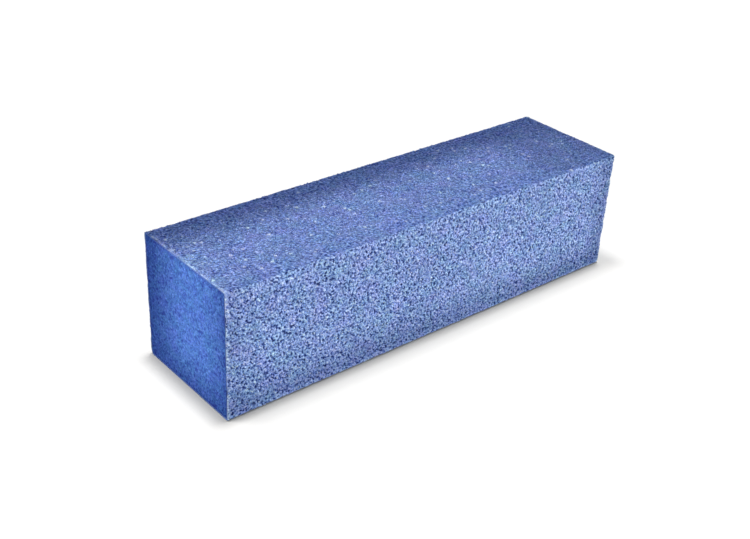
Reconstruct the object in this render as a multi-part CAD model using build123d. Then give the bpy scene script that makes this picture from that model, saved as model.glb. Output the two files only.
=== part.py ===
from build123d import *
import os

# Nail buffer block: a bar of fine foam with an abrasive coat on its four long faces.
# Each coat is two layers: a make coat of resin that is bonded to the foam, and the grit that
# is set in it. The bar is coated first and cut to length afterwards, so its two ends are bare
# foam, ringed by the cut edges of the coats.
#
# Frame: millimetres, +Z up. X runs along the block and Y across it, with the front face
# looking along -Y. The origin is the middle of the face that the block rests on.

LENGTH = 95.25  # 3 3/4 in
WIDTH = 25.4  # 1 in
HEIGHT = 25.4
EDGE_RADIUS = 0.4  # long edges of the finished block
MAKE_COAT = 0.12  # thickness of the resin
GRIT_LAYER = 0.18  # from the resin to the tips of the grains
MITRE_REACH = 2.0  # how far a mitre cut runs past a long edge, outwards and inwards

COAT = MAKE_COAT + GRIT_LAYER

# Each long face has the turn about X that brings the top of the bar to it.
TURN = {"top": 0, "front": 90, "bottom": 180, "back": 270}


def bar(depth):
    """The rounded bar along X, centred on its axis, taken in by depth from the surface."""
    section = RectangleRounded(WIDTH - 2 * depth, HEIGHT - 2 * depth, EDGE_RADIUS - depth)
    return extrude(Plane.YZ * section, amount=LENGTH / 2, both=True)


def mitred_region(turn):
    """The space round one long face, parted from its neighbours by mitres at its two edges."""
    faces_up_or_down = turn % 180 == 0
    half_across = (WIDTH if faces_up_or_down else HEIGHT) / 2
    to_face = (HEIGHT if faces_up_or_down else WIDTH) / 2
    inner = half_across - MITRE_REACH
    outer = half_across + MITRE_REACH
    section = Polygon(
        (-inner, to_face - MITRE_REACH),
        (inner, to_face - MITRE_REACH),
        (outer, to_face + MITRE_REACH),
        (-outer, to_face + MITRE_REACH),
        align=None,
    )
    return Rot(turn, 0, 0) * extrude(Plane.YZ * section, amount=LENGTH, both=True)


def block_nodes():
    """Every piece of the block by name, standing on the plane Z = 0."""
    surface = bar(0)
    resin_surface = bar(GRIT_LAYER)
    foam = bar(COAT)
    nodes = {"foam_core": foam}
    for face, turn in TURN.items():
        region = mitred_region(turn)
        nodes[face + "_make_coat"] = (resin_surface - foam) & region
        nodes[face + "_grit"] = (surface - resin_surface) & region
    return {name: Pos(0, 0, HEIGHT / 2) * shape for name, shape in nodes.items()}


os.makedirs("parts", exist_ok=True)
for name, shape in block_nodes().items():
    export_step(shape, f"parts/{name}.step")
    print(f"{name}: {shape.volume:.1f} mm3")
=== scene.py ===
import math
from collections import namedtuple

import bpy
import numpy as np
from mathutils import Matrix, Vector


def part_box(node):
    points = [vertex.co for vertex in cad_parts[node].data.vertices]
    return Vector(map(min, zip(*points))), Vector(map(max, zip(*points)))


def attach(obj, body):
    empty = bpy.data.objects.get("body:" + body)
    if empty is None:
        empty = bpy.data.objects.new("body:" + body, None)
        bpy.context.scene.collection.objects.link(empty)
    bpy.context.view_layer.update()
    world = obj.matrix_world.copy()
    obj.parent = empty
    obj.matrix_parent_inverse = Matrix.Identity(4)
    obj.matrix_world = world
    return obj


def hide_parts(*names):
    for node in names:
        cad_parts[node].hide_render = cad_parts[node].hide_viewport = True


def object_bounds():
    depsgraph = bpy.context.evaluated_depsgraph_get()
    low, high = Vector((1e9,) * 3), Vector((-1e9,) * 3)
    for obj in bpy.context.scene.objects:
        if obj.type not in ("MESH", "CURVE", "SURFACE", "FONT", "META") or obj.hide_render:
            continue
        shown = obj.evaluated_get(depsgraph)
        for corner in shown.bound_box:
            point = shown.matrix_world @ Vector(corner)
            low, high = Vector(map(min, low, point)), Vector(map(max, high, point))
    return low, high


# The looks of the nail buffer block: a bar of fine foam whose four long faces are coated. Each
# coat is a skin of resin that dips into the foam's cells, with separate grains set in it.

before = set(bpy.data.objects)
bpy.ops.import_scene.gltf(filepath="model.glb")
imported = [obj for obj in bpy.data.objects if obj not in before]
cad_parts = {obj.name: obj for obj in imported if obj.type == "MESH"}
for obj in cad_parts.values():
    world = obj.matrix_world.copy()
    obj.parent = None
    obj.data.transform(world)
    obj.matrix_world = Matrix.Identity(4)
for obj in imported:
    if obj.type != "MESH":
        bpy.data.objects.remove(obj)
cad_low, cad_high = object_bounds()

# ---- sizes, in metres ------------------------------------------------------------------------

MM = 0.001
LENGTH = cad_high.x - cad_low.x
WIDTH = cad_high.y - cad_low.y
HEIGHT = cad_high.z - cad_low.z
foam_low, foam_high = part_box("foam_core")
COAT = foam_low.y - cad_low.y
EDGE_RADIUS = 0.4 * MM
AXIS_Z = cad_low.z + HEIGHT / 2

ALONG = 600  # steps of a coat's grid along the block
ACROSS = 156  # steps across one long face, from mitre to mitre

# The long faces in the order that they follow each other round the section. Each has the turn
# about X that brings the top to it, its first row in the unrolled coat, half its breadth, its
# distance from the block's axis, whether it is coarse, and how much paler or darker the coat's
# sawn ends are painted there: the lower, the paler. That is partly the cut resin's own paler
# colour and partly painted light: the bottom's sawn ends are painted paler because little light
# reaches them.
Side = namedtuple("Side", "name turn first_row half_across out coarse cut_edge")
SIDES = [
    Side("front", 90, 0, HEIGHT / 2, WIDTH / 2, True, -0.4),
    Side("top", 0, ACROSS, WIDTH / 2, HEIGHT / 2, False, -0.2),
    Side("back", 270, 2 * ACROSS, HEIGHT / 2, WIDTH / 2, True, -1.6),
    Side("bottom", 180, 3 * ACROSS, WIDTH / 2, HEIGHT / 2, False, -1.6),
]

random = np.random.default_rng(20)


# ---- shapes ----------------------------------------------------------------------------------

SPOT_FALL = 3.56  # pi squared / (4 ln 2), which makes the blur at half height as wide as a spot


def spots(shape, step, size, evenness=0.0):
    """Soft random spots about size wide on a grid of that step: mean 0, spread 1, no seam.

    With an evenness up to 1 they keep their distance, so that no large patches form."""
    waves = np.hypot(np.fft.fftfreq(shape[0], step)[:, None], np.fft.rfftfreq(shape[1], step))
    soft = np.exp(-SPOT_FALL * (waves * size) ** 2)
    soft *= 1 - evenness * np.exp(-SPOT_FALL * (waves * 3 * size) ** 2)
    field = np.fft.irfft2(np.fft.rfft2(random.standard_normal(shape)) * soft, shape)
    return (field - field.mean()) / field.std()


def mesh_object(name, points, faces, marks=None):
    """A new mesh object, with a number for each point under each name in marks."""
    mesh = bpy.data.meshes.new(name)
    mesh.from_pydata(points.tolist(), [], faces)
    for mark, values in (marks or {}).items():
        layer = mesh.attributes.new(mark, "FLOAT", "POINT")
        layer.data.foreach_set("value", np.asarray(values, np.float32).ravel())
    made = bpy.data.objects.new(name, mesh)
    bpy.context.scene.collection.objects.link(made)
    return made


def grid_faces(rows, columns, first=0, flip=False):
    """The quads of a grid of points that is stored row by row."""
    corner = first + np.arange(rows - 1)[:, None] * columns + np.arange(columns - 1)
    quads = np.stack([corner, corner + 1, corner + columns + 1, corner + columns], axis=-1)
    return (quads[..., ::-1] if flip else quads).reshape(-1, 4).tolist()


def arc_length(side):
    """How long the side's finished profile is, from mitre to mitre."""
    return 2 * (side.half_across - EDGE_RADIUS) + EDGE_RADIUS * math.pi / 2


def on_side(side, run, depth, x):
    """Points under a side's finished surface, and the outward normals there.

    run is the distance round the profile from the middle of the face."""
    flat = side.half_across - EDGE_RADIUS
    bend = np.maximum(np.abs(run) - flat, 0) / EDGE_RADIUS
    lean = np.sign(run) * np.sin(bend)
    rise = np.cos(bend)
    across = np.clip(run, -flat, flat) + lean * (EDGE_RADIUS - depth)
    out = side.out - EDGE_RADIUS + rise * (EDGE_RADIUS - depth)
    turn = math.radians(side.turn)
    cos, sin = math.cos(turn), math.sin(turn)
    y = across * cos - out * sin
    z = across * sin + out * cos + AXIS_Z
    x, y, z, lean, rise = np.broadcast_arrays(x, y, z, lean, rise)
    normals = np.stack([np.zeros_like(y), lean * cos - rise * sin, lean * sin + rise * cos], -1)
    return np.stack([x, y, z], -1), normals


# ---- the relief of the coats -----------------------------------------------------------------

GRID = (4 * ACROSS, ALONG + 1)  # the unrolled coat: rows round the section, columns along it
STEP = LENGTH / ALONG  # the steps round the section are about as long
SEAM_BLEND = 0.5 * MM  # how far a coat's texture fades into its neighbour's
SEAM_WANDER = 0.55 * MM  # how far that seam strays from the block's edge
SEAM_SWAY = 0.9 * MM  # the length of its bends
COARSE_CELL = 0.24 * MM  # how wide the cells are that a coarse coat dips into
COARSE_DEPTH = 0.150 * MM  # from the finished surface down to a coarse coat's resin, on average
COARSE_SWING = 0.050 * MM  # how much that depth varies
FINE_CELL = 0.22 * MM
FINE_DEPTH = 0.080 * MM
FINE_SWING = 0.020 * MM
MOTTLE_PATCH = 2.2 * MM  # how wide the coats' paler patches are
LEAST_DEPTH = 0.02 * MM  # the resin stays this far under the finished surface
BURR = 0.6 * MM  # how far in from a sawn end the saw has lifted the coat
BURR_PATCH = 0.6 * MM  # how wide the patches are in which it is lifted more or less
BURR_SWING = 0.8  # how much more or less
BURR_FILL = 0.8  # how much of the relief the burr takes away
BURR_PALE_AND_HIGHLIGHT = 1.3  # how much paler it makes the coat: partly the filled resin's own tone, partly a painted highlight along the sawn ends
RAGGED = 0.09 * MM  # how far a sawn end is torn in, here and there
TEAR_SIZE = 0.5 * MM
INNER_PAINTED_SHADE = 0.8  # painted shade on a sawn end next to the foam, in the crease between coat and foam, before each side's own change to its sawn ends


def coarse_share():
    """1 on the coarse sides, 0 on the fine ones, with a soft change at each long edge."""
    rows = np.arange(GRID[0])
    from_seam = (rows + ACROSS / 2) % ACROSS - ACROSS / 2
    into_coarse = np.where(((rows + ACROSS / 2) // ACROSS) % 2 == 0, 1, -1)
    inwards = (from_seam * into_coarse)[:, None] * STEP
    inwards = inwards + SEAM_WANDER * spots(GRID, STEP, SEAM_SWAY)
    return np.clip(0.5 + inwards / (2 * SEAM_BLEND), 0, 1)


def saw_burr():
    """How much the saw has lifted the coat at each point: most at the ends, and in patches."""
    from_start = np.arange(GRID[1]) * STEP
    from_end = np.minimum(from_start, LENGTH - from_start)
    patches = 1 + BURR_SWING * spots(GRID, STEP, BURR_PATCH)
    return np.exp(-((from_end / BURR) ** 2)) * np.clip(patches, 0, 2.2)


def relief():
    """Depth of the resin below the finished surface over the whole unrolled coat, how hollow it is
    at each point, which also sets how dark it is painted there, and how mottled it looks. The
    darkness is partly the deeper resin's own colour and partly painted shade in the hollows. The
    burr at the sawn ends has less of both depth and hollows, and is painted paler."""
    share = coarse_share()
    cells = spots(GRID, STEP, COARSE_CELL, evenness=0.6)
    fine_cells = spots(GRID, STEP, FINE_CELL, evenness=0.4)
    mottle = spots(GRID, STEP, MOTTLE_PATCH)
    burr = saw_burr()
    coarse_depth = COARSE_DEPTH + COARSE_SWING * cells
    fine_depth = FINE_DEPTH + FINE_SWING * fine_cells
    depth = share * coarse_depth + (1 - share) * fine_depth
    depth *= np.clip(1 - BURR_FILL * burr, 0, 1)
    # painted shade, in part: the more hollow a place, the darker the resin is painted
    hollow = share * cells + (1 - share) * fine_cells - BURR_PALE_AND_HIGHLIGHT * burr
    return np.clip(depth, LEAST_DEPTH, 0.9 * COAT), hollow, mottle


def torn_ends():
    """Where the coat's points stand along the block: evenly, but for the torn sawn ends."""
    x = np.tile(np.linspace(cad_low.x, cad_high.x, GRID[1]), (GRID[0], 1))
    tear = RAGGED * np.clip(spots(GRID, STEP, TEAR_SIZE), 0, 2)
    x[:, 0] += tear[:, 0]
    x[:, -1] -= tear[:, -1]
    return x


DEPTH, HOLLOW_AND_SHADE, MOTTLE = relief()
PLACE = torn_ends()


def rows_of(side, field):
    """The part of an unrolled field that lies on one side, both its mitres included."""
    return field[(side.first_row + np.arange(ACROSS + 1)) % GRID[0]]


def shell_faces(inner_rows):
    """The faces of a coat's closed shell: the outer grid, the inner grid, and the rim between
    them along both mitres and both sawn ends."""
    columns = ALONG + 1
    inner_first = (ACROSS + 1) * columns
    last_outer = ACROSS * columns
    last_inner = inner_first + (inner_rows - 1) * columns
    faces = grid_faces(ACROSS + 1, columns, flip=True)
    faces += grid_faces(inner_rows, columns, inner_first)
    for i in range(ALONG):
        faces.append([i, i + 1, inner_first + i + 1, inner_first + i])
        faces.append([last_outer + i + 1, last_outer + i, last_inner + i, last_inner + i + 1])
    for column, order in ((0, 1), (ALONG, -1)):
        ring = [row * columns + column for row in range(ACROSS + 1)]
        ring += [inner_first + row * columns + column for row in reversed(range(inner_rows))]
        faces.append(ring[::order])
    return faces


def resin_skin(side):
    """One side's coat of resin: a closed shell with the relief outside and the foam's plane
    inside."""
    run = np.linspace(-0.5, 0.5, ACROSS + 1)[:, None] * arc_length(side)
    outer, _ = on_side(side, run, rows_of(side, DEPTH), rows_of(side, PLACE))
    flat = side.half_across - EDGE_RADIUS
    end = arc_length(side) / 2
    inner_run = np.array([-end, -(end + flat) / 2, -flat, flat, (end + flat) / 2, end])[:, None]
    inner, _ = on_side(side, inner_run, COAT, np.linspace(cad_low.x, cad_high.x, ALONG + 1))
    points = np.concatenate([outer.reshape(-1, 3), inner.reshape(-1, 3)])
    hollow = rows_of(side, HOLLOW_AND_SHADE).copy()
    # The sawn ends: painted shade next to the foam, and painted paler or darker side by side,
    # partly the cut resin's own colour and partly painted light.
    sawn_columns = [0, 1, -2, -1]
    hollow[:, sawn_columns] += side.cut_edge
    inner_shape = inner.shape[:2]
    inner_painted_shade = np.full(inner_shape, INNER_PAINTED_SHADE + side.cut_edge)
    marks = {
        "hollow": np.concatenate([hollow, inner_painted_shade]),
        "mottle": np.concatenate([rows_of(side, MOTTLE), np.zeros(inner_shape)]),
    }
    faces = shell_faces(len(inner_run))
    piece = mesh_object(side.name + "_resin", points, faces, marks)
    piece.data.shade_smooth()
    piece.data.set_sharp_from_angle(angle=math.radians(70))
    return piece


# ---- grains ----------------------------------------------------------------------------------

OCTAHEDRON = np.array([[1, 0, 0], [-1, 0, 0], [0, 1, 0], [0, -1, 0], [0, 0, 1], [0, 0, -1]], float)
OCTAHEDRON_FACES = np.array(
    [[0, 2, 4], [2, 1, 4], [1, 3, 4], [3, 0, 4], [2, 0, 5], [1, 2, 5], [3, 1, 5], [0, 3, 5]]
)
TETRAHEDRON = np.array([[1, 1, 1], [1, -1, -1], [-1, 1, -1], [-1, -1, 1]]) / math.sqrt(3)
TETRAHEDRON_FACES = np.array([[0, 1, 2], [0, 3, 1], [0, 2, 3], [1, 3, 2]])

# A kind of grain: the corners and faces of its shape, how many a side has, its usual radius, how
# much of it is sunk, the most hollow place that it settles in, the share that are glints, how
# large and how thick a glint is for a grain, and how far in from a long edge the cover is thin.
Grain = namedtuple(
    "Grain",
    "corners faces count radius set_in hollow_limit glints glint_size glint_thickness thin_edge",
)
COARSE_GRAIN = Grain(
    corners=OCTAHEDRON,
    faces=OCTAHEDRON_FACES,
    count=24000,
    radius=0.115 * MM,
    set_in=0.35,
    hollow_limit=0.6,
    glints=0.02,
    glint_size=1.5,
    glint_thickness=1.0,
    thin_edge=1.5 * MM,
)
FINE_GRAIN = Grain(
    corners=TETRAHEDRON,
    faces=TETRAHEDRON_FACES,
    count=46000,
    radius=0.09 * MM,
    set_in=0.3,
    hollow_limit=1.0,
    glints=0.003,
    glint_size=5.4,
    glint_thickness=0.13,
    thin_edge=5 * MM,
)

RADIUS_RANGE = (0.65, 1.25)  # the smallest and largest grains, as shares of the usual radius
CORNER_RANGE = (0.7, 1.2)  # how near and how far a grain's corners are, as shares of its radius
LEAST_COVER = 0.2  # the share of grains that is left at a long edge
TRIES = 3  # how many places are tried for each grain that is wanted


def random_turns(count):
    """Evenly spread random rotation matrices."""
    turns = random.standard_normal((4, count))
    w, x, y, z = turns / np.linalg.norm(turns, axis=0)
    return np.array(
        [
            [1 - 2 * (y * y + z * z), 2 * (x * y - w * z), 2 * (x * z + w * y)],
            [2 * (x * y + w * z), 1 - 2 * (x * x + z * z), 2 * (y * z - w * x)],
            [2 * (x * z - w * y), 2 * (y * z + w * x), 1 - 2 * (x * x + y * y)],
        ]
    ).transpose(2, 0, 1)


def grain_layer(side):
    """One side's grains: separate broken crystals of uneven shape and size, each turned at random
    and sunk a little into the resin. A thin glint lies along the surface. No grain goes past the
    sawn ends or below the face that the block rests on."""
    grain = COARSE_GRAIN if side.coarse else FINE_GRAIN
    hollow = rows_of(side, HOLLOW_AND_SHADE)
    depth = rows_of(side, DEPTH)
    tries = TRIES * grain.count
    row = random.uniform(0, ACROSS, tries)
    column = random.uniform(0.5, ALONG - 0.5, tries)
    at = np.round(row).astype(int), np.round(column).astype(int)
    from_edge = np.minimum(row, ACROSS - row) * STEP
    cover = np.clip(from_edge / grain.thin_edge, LEAST_COVER, 1)
    lucky = random.uniform(0, 1, tries) < cover
    kept = np.flatnonzero((hollow[at] < grain.hollow_limit) & lucky)[: grain.count]
    row, column = row[kept], column[kept]
    at = at[0][kept], at[1][kept]
    run = (row / ACROSS - 0.5) * arc_length(side)
    tint = random.uniform(0, 1, len(kept))
    radius = grain.radius * random.uniform(*RADIUS_RANGE, len(kept))
    glint = tint > 1 - grain.glints
    radius *= np.where(glint, grain.glint_size, 1)
    thickness = np.where(glint, grain.glint_thickness, 1)
    centre, normal = on_side(side, run, depth[at], cad_low.x + column * STEP)
    centre = centre + normal * (radius * thickness * (1 - 2 * grain.set_in))[:, None]
    shape = grain.corners * random.uniform(*CORNER_RANGE, (len(kept), len(grain.corners), 1))
    shape = np.einsum("nij,nkj->nki", random_turns(len(kept)), shape)
    height = np.einsum("nkj,nj->nk", shape, normal) * (thickness - 1)[:, None]
    shape += height[..., None] * normal[:, None]
    points = centre[:, None] + shape * radius[:, None, None]
    points[..., 0] = np.clip(points[..., 0], cad_low.x, cad_high.x)
    points[..., 2] = np.maximum(points[..., 2], cad_low.z)
    firsts = np.arange(len(kept))[:, None, None] * len(grain.corners)
    faces = (grain.faces + firsts).reshape(-1, 3).tolist()
    marks = {"tint": np.repeat(tint, len(grain.corners))}
    return mesh_object(side.name + "_grains", points.reshape(-1, 3), faces, marks)


# ---- the foam --------------------------------------------------------------------------------

END_STEPS = 156  # steps of the bare end's grid, both ways
FOAM_CELL = 0.26 * MM  # how wide the foam's cut cells are
CUT_DEPTH = 0.05 * MM  # how far the cut face lies inside the block's end, on average
CUT_SWING = 0.022 * MM
CUT_LIMIT = 0.2 * MM
ROUNDING = 0.05 * MM  # how much deeper the foam lies right beside the coats
ROUNDING_WIDTH = 0.25 * MM
RIM_DEPTH = 0.10 * MM  # how deep the foam's outermost edge lies
PAINTED_EDGE_SHADE = 0.8  # painted shade: how much darker the foam is painted beside the coats
PAINTED_EDGE_SHADE_WIDTH = 0.8 * MM


def foam_bar():
    """The foam: plain under the coats, with its cut cells modelled on the two bare ends."""
    steps = np.linspace(0, 1, END_STEPS + 1)
    foam_width = foam_high.y - foam_low.y
    y = foam_low.y + steps * foam_width
    z = foam_low.z + steps * (foam_high.z - foam_low.z)
    grid_y, grid_z = np.meshgrid(y, z)
    step = foam_width / END_STEPS
    size = END_STEPS + 1
    edge = np.minimum(steps, 1 - steps) * foam_width
    from_edge = np.minimum(edge[:, None], edge[None, :])
    points, marks, faces = [], [], []
    for end, x, inwards in ((0, cad_low.x, 1), (1, cad_high.x, -1)):
        cells = spots((size, size), step, FOAM_CELL)
        sink = np.clip(CUT_DEPTH + CUT_SWING * cells, 0, CUT_LIMIT)
        sink += ROUNDING * np.exp(-from_edge / ROUNDING_WIDTH)
        sink[[0, -1]] = RIM_DEPTH
        sink[:, [0, -1]] = RIM_DEPTH
        points.append(np.stack([x + inwards * sink, grid_y, grid_z], -1).reshape(-1, 3))
        # painted shade on the foam beside the coats, carried in the same mark as the cells
        painted_shade = PAINTED_EDGE_SHADE * np.exp(-((from_edge / PAINTED_EDGE_SHADE_WIDTH) ** 2))
        marks.append((cells + painted_shade).ravel())
        faces += grid_faces(size, size, end * size * size, flip=end == 0)
    # The wall between the two ends: ring goes round the edge of the first end's grid, and each
    # point's partner on the second end comes far places later.
    far = size * size
    ring = [*range(size)]
    ring += [row * size + size - 1 for row in range(1, size)]
    ring += [(size - 1) * size + column for column in reversed(range(size - 1))]
    ring += [row * size for row in reversed(range(1, size - 1))]
    for a, b in zip(ring, ring[1:] + ring[:1]):
        faces.append([a, a + far, b + far, b])
    piece = mesh_object("foam_bar", np.concatenate(points), faces, {"cell": np.concatenate(marks)})
    piece.data.shade_smooth()
    piece.data.set_sharp_from_angle(angle=math.radians(60))
    return piece


# ---- materials -------------------------------------------------------------------------------

NOISE_LOW, NOISE_HIGH = 0.32, 0.68  # a noise node's values lie mostly between these two
MARK_RANGE = 2.5  # the marks on the meshes lie mostly within this far of 0
HUE_PATCH = 3 * MM  # how wide the patches are in which the hue swings
HUE_SWING = 0.08  # how far the coats' colour swings between violet and teal
FOAM_HUE_SWING = 0.12
GRIT_SIZE = 0.28 * MM  # the fine grit between the grains
FILM_SIZE = 0.12 * MM  # the uneven film of resin on the grains
FILM_SHADE = 0.12
PORE_SIZE = 0.27 * MM  # the foam's pores
PORE_SHADE = 0.44
BUMP_DEPTH = 0.05 * MM  # how deep the grit and the pores look
TINT_SHARE = 0.25  # how much of the other tint there is at most where the resin is mottled


def srgb(red, green, blue):
    """A colour from its 0 to 255 screen values."""
    parts = np.array([red, green, blue]) / 255
    linear = np.where(parts <= 0.04045, parts / 12.92, ((parts + 0.055) / 1.055) ** 2.4)
    return (*linear.tolist(), 1.0)


def new_material(name):
    """An empty material: its node tree and its Principled shader."""
    material = bpy.data.materials.new(name)
    material.use_nodes = True
    return material, material.node_tree, material.node_tree.nodes["Principled BSDF"]


def node(tree, kind, **settings):
    """A new node with these settings."""
    made = tree.nodes.new(kind)
    for name, value in settings.items():
        setattr(made, name, value)
    return made


def mark(tree, name):
    """The number that a mesh holds for each point under this name."""
    return node(tree, "ShaderNodeAttribute", attribute_name=name).outputs["Fac"]


def noise(tree, size, detail=2.0, roughness=0.5):
    """Noise from 0 to 1, fixed to the object, whose largest spots are about size wide."""
    place = node(tree, "ShaderNodeTexCoord").outputs["Object"]
    made = node(tree, "ShaderNodeTexNoise")
    made.inputs["Scale"].default_value = 1 / size
    made.inputs["Detail"].default_value = detail
    made.inputs["Roughness"].default_value = roughness
    tree.links.new(place, made.inputs["Vector"])
    return made.outputs["Fac"]


def ramp(tree, value, *stops):
    """A colour for each value, from (value, colour) stops."""
    made = node(tree, "ShaderNodeValToRGB")
    points = made.color_ramp.elements
    while len(points) < len(stops):
        points.new(0.5)
    for point, (position, colour) in zip(points, stops):
        point.position = position
        point.color = colour
    tree.links.new(value, made.inputs["Fac"])
    return made.outputs["Color"]


def scaled(tree, value, low, high, to_low=0.0, to_high=1.0):
    """value with low to high brought to to_low to to_high, and held between them."""
    made = node(tree, "ShaderNodeMapRange")
    limits = {"From Min": low, "From Max": high, "To Min": to_low, "To Max": to_high}
    for name, number in limits.items():
        made.inputs[name].default_value = number
    tree.links.new(value, made.inputs["Value"])
    return made.outputs["Result"]


def mixed(tree, share, first, second, blend="MIX"):
    """Two colours mixed. share, first and second are sockets or plain values."""
    made = node(tree, "ShaderNodeMix", data_type="RGBA", blend_type=blend)
    sockets = made.inputs[0], made.inputs[6], made.inputs[7]
    for socket, value in zip(sockets, (share, first, second)):
        if isinstance(value, bpy.types.NodeSocket):
            tree.links.new(value, socket)
        else:
            socket.default_value = value
    return made.outputs[2]


def bumped(tree, shader, height, depth):
    """Gives the shader small relief from a height of 0 to 1 that stands for depth metres."""
    made = node(tree, "ShaderNodeBump")
    made.inputs["Distance"].default_value = depth
    tree.links.new(height, made.inputs["Height"])
    tree.links.new(made.outputs["Normal"], shader.inputs["Normal"])


def shade_ramp(tree, value, spread):
    """A grey that goes from 1 - spread to 1 + spread, to multiply a colour by."""
    low, high = 1 - spread, 1 + spread
    return ramp(tree, value, (NOISE_LOW, (low, low, low, 1)), (NOISE_HIGH, (high, high, high, 1)))


def patchy(tree, colour, swing):
    """The colour swung a little between violet and teal, in patches some millimetres wide."""
    violet = (1 + swing, 1 - swing / 2, 1 + swing / 2, 1)
    teal = (1 - swing, 1 + swing / 2, 1 - swing / 2, 1)
    patches = noise(tree, HUE_PATCH, 3.0, 0.6)
    hue = ramp(tree, patches, (NOISE_LOW, violet), (NOISE_HIGH, teal))
    return mixed(tree, 1.0, colour, hue, "MULTIPLY")


def resin_material(name, tint, speckle, *stops):
    """Cured blue binder, coloured by how hollow the relief is: darker in the hollows, partly the
    deeper resin's own colour and partly painted shade. It has patches of another tint and a fine
    speckle."""
    material, tree, shader = new_material(name)
    # the hollows come out darker: partly the resin's own colour, partly painted shade
    level = scaled(tree, mark(tree, "hollow"), -MARK_RANGE, MARK_RANGE)
    colour = ramp(tree, level, *stops)
    patch = scaled(tree, mark(tree, "mottle"), -1.0, MARK_RANGE, 0.0, TINT_SHARE)
    colour = mixed(tree, patch, colour, tint)
    grit = noise(tree, GRIT_SIZE, 2.0, 0.6)
    colour = mixed(tree, 1.0, colour, shade_ramp(tree, grit, speckle), "MULTIPLY")
    tree.links.new(patchy(tree, colour, HUE_SWING), shader.inputs["Base Color"])
    tree.links.new(scaled(tree, grit, 0.3, 0.7, 0.75, 0.5), shader.inputs["Roughness"])
    bumped(tree, shader, grit, BUMP_DEPTH)
    shader.inputs["Specular IOR Level"].default_value = 0.15
    return material


def grain_material(name, *stops):
    """Crushed crystals in many tints, each grain of one tint. The palest are the smoothest, so
    they shine for real; on the fine faces the palest are the glints, whose near-white colour is a
    painted glint.
    """
    material, tree, shader = new_material(name)
    colour = ramp(tree, mark(tree, "tint"), *stops)
    film = noise(tree, FILM_SIZE)
    colour = mixed(tree, 1.0, colour, shade_ramp(tree, film, FILM_SHADE), "MULTIPLY")
    tree.links.new(patchy(tree, colour, HUE_SWING), shader.inputs["Base Color"])
    roughness = scaled(tree, mark(tree, "tint"), 0.6, 1.0, 0.5, 0.26)
    tree.links.new(roughness, shader.inputs["Roughness"])
    shader.inputs["Specular IOR Level"].default_value = 1.0
    shader.inputs["Specular Tint"].default_value = (0.5, 0.74, 1.0, 1)
    return material


def foam_material():
    """Bare foam: saturated blue, fine cut cells, darker inside the cells, with painted shade
    beside the coats.
    """
    material, tree, shader = new_material("foam")
    level = scaled(tree, mark(tree, "cell"), -MARK_RANGE, MARK_RANGE)
    colour = ramp(
        tree,
        level,
        (0.15, srgb(102, 149, 227)),
        (0.50, srgb(78, 125, 209)),
        (0.90, srgb(49, 78, 174)),
    )
    pores = noise(tree, PORE_SIZE, 4.0, 0.7)
    colour = mixed(tree, 1.0, colour, shade_ramp(tree, pores, PORE_SHADE), "MULTIPLY")
    tree.links.new(patchy(tree, colour, FOAM_HUE_SWING), shader.inputs["Base Color"])
    tree.links.new(scaled(tree, pores, 0.3, 0.7, 0.95, 0.75), shader.inputs["Roughness"])
    bumped(tree, shader, pores, BUMP_DEPTH)
    shader.inputs["Specular IOR Level"].default_value = 0.3
    return material


# ---- the pieces ------------------------------------------------------------------------------


def make_pieces():
    """The foam and the four coats, each riding on the block and standing for its CAD nodes."""
    # The resin's stops run from crest to hollow: the dark hollows are partly the resin's own
    # deeper colour and partly painted shade.
    coarse_resin = resin_material(
        "coarse_resin",
        srgb(136, 156, 206),
        0.4,
        (0.05, srgb(212, 234, 252)),
        (0.25, srgb(182, 206, 245)),
        (0.50, srgb(137, 167, 222)),
        (0.63, srgb(78, 106, 175)),
        (0.73, srgb(27, 43, 102)),
    )
    fine_resin = resin_material(
        "fine_resin",
        srgb(140, 150, 200),
        0.36,
        (0.05, srgb(192, 214, 248)),
        (0.25, srgb(153, 181, 232)),
        (0.50, srgb(109, 143, 213)),
        (0.75, srgb(36, 58, 134)),
    )
    coarse_grains = grain_material(
        "coarse_grit",
        (0.0, srgb(80, 110, 176)),
        (0.4, srgb(138, 166, 220)),
        (0.8, srgb(194, 213, 243)),
        (1.0, srgb(232, 240, 250)),
    )
    # The fine glints are painted near white, a painted glint, besides the real shine that their
    # smoothness gives.
    painted_glints_from = 1 - FINE_GRAIN.glints
    fine_grains = grain_material(
        "fine_grit",
        (0.0, srgb(54, 75, 145)),
        (0.5, srgb(151, 170, 214)),
        (painted_glints_from, srgb(200, 213, 240)),
        (painted_glints_from + 0.001, srgb(218, 238, 255)),
    )
    foam = foam_bar()
    foam.data.materials.append(foam_material())
    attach(foam, "root")
    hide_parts("foam_core")
    made = [foam]
    for side in SIDES:
        skin = resin_skin(side)
        skin.data.materials.append(coarse_resin if side.coarse else fine_resin)
        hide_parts(side.name + "_make_coat")
        grains = grain_layer(side)
        grains.data.materials.append(coarse_grains if side.coarse else fine_grains)
        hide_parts(side.name + "_grit")
        for piece in (skin, grains):
            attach(piece, "root")
            made.append(piece)
    return made


# ---- the studio ------------------------------------------------------------------------------


def towards(azimuth, elevation):
    """The direction from the block to something at these angles: 0 is in front of the block."""
    a, e = math.radians(azimuth), math.radians(elevation)
    return Vector((math.sin(a) * math.cos(e), -math.cos(a) * math.cos(e), math.sin(e)))


CAMERA_AZIMUTH = -41.23  # degrees
CAMERA_ELEVATION = 29.88
CAMERA_ROLL = 3.1
CAMERA_DISTANCE = 220.44 * MM
CAMERA_LENS = 54.21  # millimetres, as Blender takes it
BLOCK_RIGHT = 4.18 * MM  # how far right of the picture's middle the block's own middle lies
BLOCK_UP = 4.11 * MM


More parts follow.
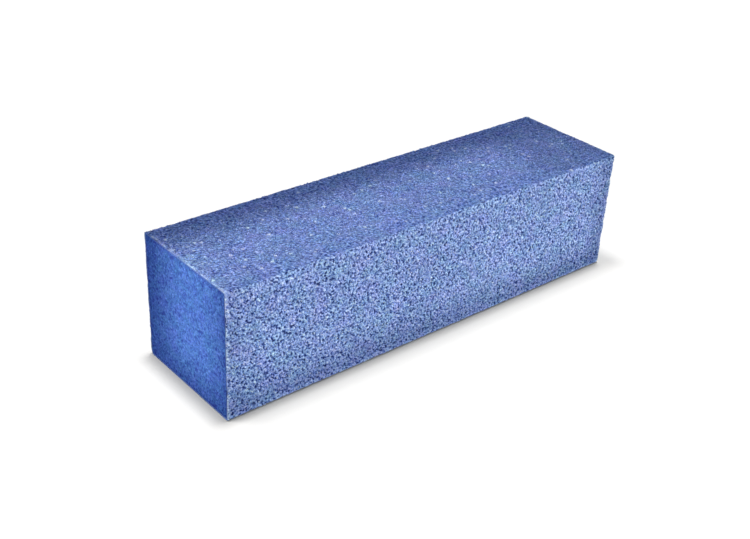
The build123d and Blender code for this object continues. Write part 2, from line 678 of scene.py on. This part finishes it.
def add_camera():
    """A camera at the angle that the block is shown from, turned a little about its own axis."""
    back = towards(CAMERA_AZIMUTH, CAMERA_ELEVATION)
    right = Vector((0, 0, 1)).cross(back).normalized()
    up = back.cross(right)
    roll = Matrix.Rotation(math.radians(CAMERA_ROLL), 3, "Z")
    turned = Matrix((right, up, back)).transposed() @ roll
    right, up = turned.col[0], turned.col[1]
    target = Vector((0, 0, AXIS_Z)) - right * BLOCK_RIGHT - up * BLOCK_UP
    data = bpy.data.cameras.new("camera")
    data.lens = CAMERA_LENS
    data.clip_start = 0.01
    camera = bpy.data.objects.new("camera", data)
    place = Matrix.Translation(target + back * CAMERA_DISTANCE)
    camera.matrix_world = place @ turned.to_4x4()
    bpy.context.scene.collection.objects.link(camera)
    bpy.context.scene.camera = camera


def add_light(name, kind, direction, distance, target, receivers, **settings):
    """A light that shines from direction at target, on the receivers only."""
    data = bpy.data.lights.new(name, kind)
    for key, value in settings.items():
        setattr(data, key, value)
    light = bpy.data.objects.new(name, data)
    sideways = Vector((0, 0, 1)).cross(direction).normalized()
    turned = Matrix((sideways, direction.cross(sideways), direction)).transposed()
    light.matrix_world = Matrix.Translation(target + direction * distance) @ turned.to_4x4()
    light.visible_camera = False
    bpy.context.scene.collection.objects.link(light)
    lit = bpy.data.collections.new(name + "_lights")
    for receiver in receivers:
        lit.objects.link(receiver)
    light.light_linking.receiver_collection = lit


FLOOR_REACH = 3.0  # metres from the block to the floor's sides
FLOOR_COLOUR = (0.4, 0.360, 0.254, 1)  # white under the floor's own lights, which are bluish


def add_floor():
    """A plain floor that comes out white, and that throws no light back on the block."""
    corners = np.array([[-1, -1, 0], [1, -1, 0], [1, 1, 0], [-1, 1, 0]]) * FLOOR_REACH
    floor = mesh_object("floor", corners + [0, 0, cad_low.z], [[0, 1, 2, 3]])
    material, _, shader = new_material("floor")
    shader.inputs["Base Color"].default_value = FLOOR_COLOUR
    shader.inputs["Roughness"].default_value = 0.9
    shader.inputs["Specular IOR Level"].default_value = 0.0
    floor.data.materials.append(material)
    floor.visible_diffuse = False
    floor.visible_glossy = False
    return floor


def add_world(ambient):
    """Soft light from all round. The camera sees it as plain white."""
    world = bpy.data.worlds.new("world")
    world.use_nodes = True
    tree = world.node_tree
    background = tree.nodes["Background"]
    seen = node(tree, "ShaderNodeLightPath").outputs["Is Camera Ray"]
    colour = mixed(tree, seen, (*ambient, 1), (1, 1, 1, 1))
    tree.links.new(colour, background.inputs["Color"])
    bpy.context.scene.world = world


# The block's lights: the direction that each comes from, the point that it shines at, its width
# and height and how soft its edge is, in millimetres, and how bright a white surface that faces
# it becomes.
Beam = namedtuple("Beam", "name azimuth elevation aim width height softness level")
BEAMS = [
    Beam("front_light", 35, 0, (-1.5, -12.7, 19.9), 78, 34, 8, 0.885),
    Beam("front_right_light", 35, 0, (27, -12.7, 12), 38, 22, 8, 0.11),
    Beam("front_low_light", 35, 0, (0, -12.7, 0.3), 100, 0.8, 0.6, 0.30),
    Beam("top_light", 180, 55, (-12, -3.4, 25.4), 84, 15.2, 6, 0.46),
    Beam("top_right_light", 180, 55, (-3, -3.4, 25.4), 99, 15.2, 6, 0.44),
    Beam("top_left_light", 180, 55, (-30, -3.4, 25.4), 48, 15.2, 6, 0.11),
    Beam("end_light", 235, 0, (-47.6, -2.4, 18), 14.2, 29, 7, 0.79),
    Beam("far_end_light", 115, 0, (47.6, 0, 12.7), 60, 60, 20, 0.6),
    Beam("back_light", 165, 0, (0, 12.7, 12.7), 130, 60, 20, 0.6),
]
BEAM_DISTANCE = 120 * MM
AMBIENT = (0.30, 0.33, 0.45)
BEAM_COLOUR = (1.0, 0.96, 0.85)

# The floor's own lights: how far each leans out of the vertical, to the right and to the back,
# and how wide it looks, all in degrees, how bright it makes a white floor, and whether the block
# throws a shadow in it.
FloorLight = namedtuple("FloorLight", "name right behind width level shadows")
FLOOR_LIGHTS = [
    FloorLight("floor_light", 4.3, 1.3, 8.8, 1.44, True),
    FloorLight("floor_fill", -10.5, 7.2, 11, 0.80, True),
    FloorLight("floor_glow", 0, 1.3, 8.8, 0.12, False),
]
FLOOR_LIGHT_COLOUR = (1.0, 1.10, 1.54)
SUN_DISTANCE = 1.0  # metres; a sun shines the same from anywhere


def light_studio(pieces):
    """The lights: soft-edged beams on the faces of the block, and the floor's own lights."""
    floor = add_floor()
    add_world(AMBIENT)
    for beam in BEAMS:
        width = beam.width * MM
        height = beam.height * MM
        add_light(
            beam.name,
            "AREA",
            towards(beam.azimuth, beam.elevation),
            BEAM_DISTANCE,
            Vector(beam.aim) * MM,
            pieces,
            shape="RECTANGLE",
            size=width,
            size_y=height,
            spread=2 * math.atan(beam.softness * MM / BEAM_DISTANCE),
            energy=beam.level * math.pi * width * height,
            color=BEAM_COLOUR,
        )
    for light in FLOOR_LIGHTS:
        lean = math.tan(math.radians(light.right)), math.tan(math.radians(light.behind))
        add_light(
            light.name,
            "SUN",
            Vector((*lean, 1)).normalized(),
            SUN_DISTANCE,
            Vector((0, 0, 0)),
            [floor],
            angle=math.radians(light.width),
            energy=light.level * math.pi,
            color=FLOOR_LIGHT_COLOUR,
            use_shadow=light.shadows,
        )


pieces = make_pieces()
add_camera()
light_studio(pieces)
bpy.context.scene.view_settings.view_transform = "Standard"
